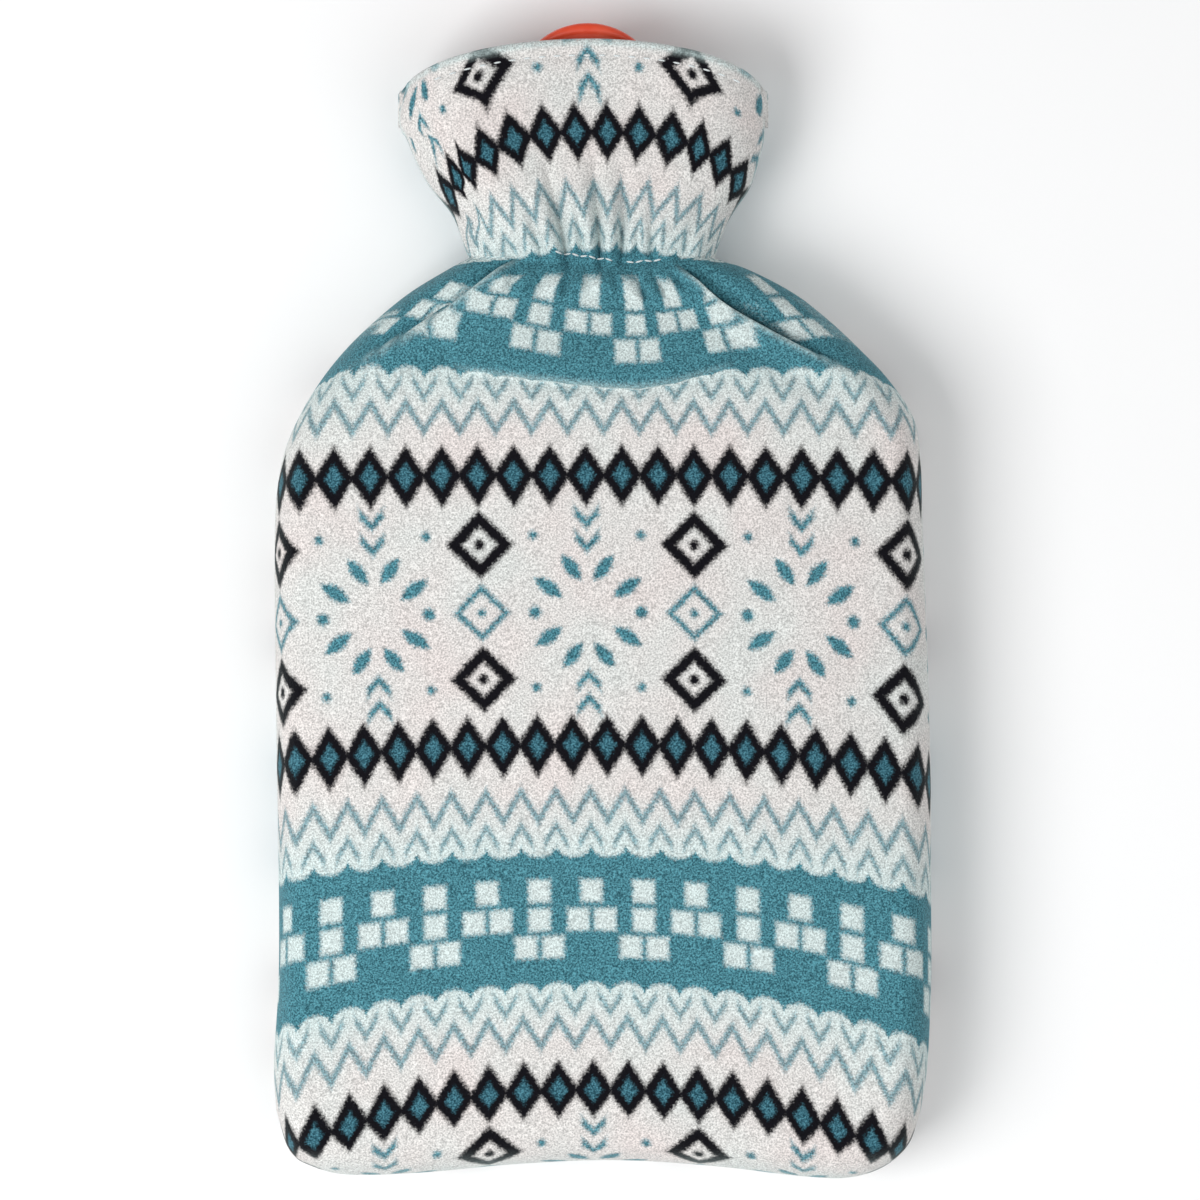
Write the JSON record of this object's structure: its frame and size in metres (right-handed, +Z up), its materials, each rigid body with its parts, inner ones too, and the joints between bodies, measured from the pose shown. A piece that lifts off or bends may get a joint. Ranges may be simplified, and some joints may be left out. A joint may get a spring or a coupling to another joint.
{
  "type": "hot water bottle cover with hot water bottle",
  "caption": "Fitted fleece cover in a knit-style print, drawn in at the neck and flared to a collar, on a plain rubber hot water bottle whose lip shows at the top.",
  "frame": {"origin": "centre of the base rectangle of the whole object, on the surface it lies on", "axes": "+X to the right seen from above, +Y from the bottom seam to the collar, +Z up out of the front face"},
  "size_m": [0.2041, 0.358, 0.0476],
  "materials": {
    "fleece": "brushed fleece printed in teal, near black and off-white",
    "rubber": "smooth orange-red rubber, satin"
  },
  "bodies": {
    "root": {"cover_front": "fleece", "cover_back": "fleece", "bottle": "rubber", "stopper": "rubber"}
  },
  "joints": []
}
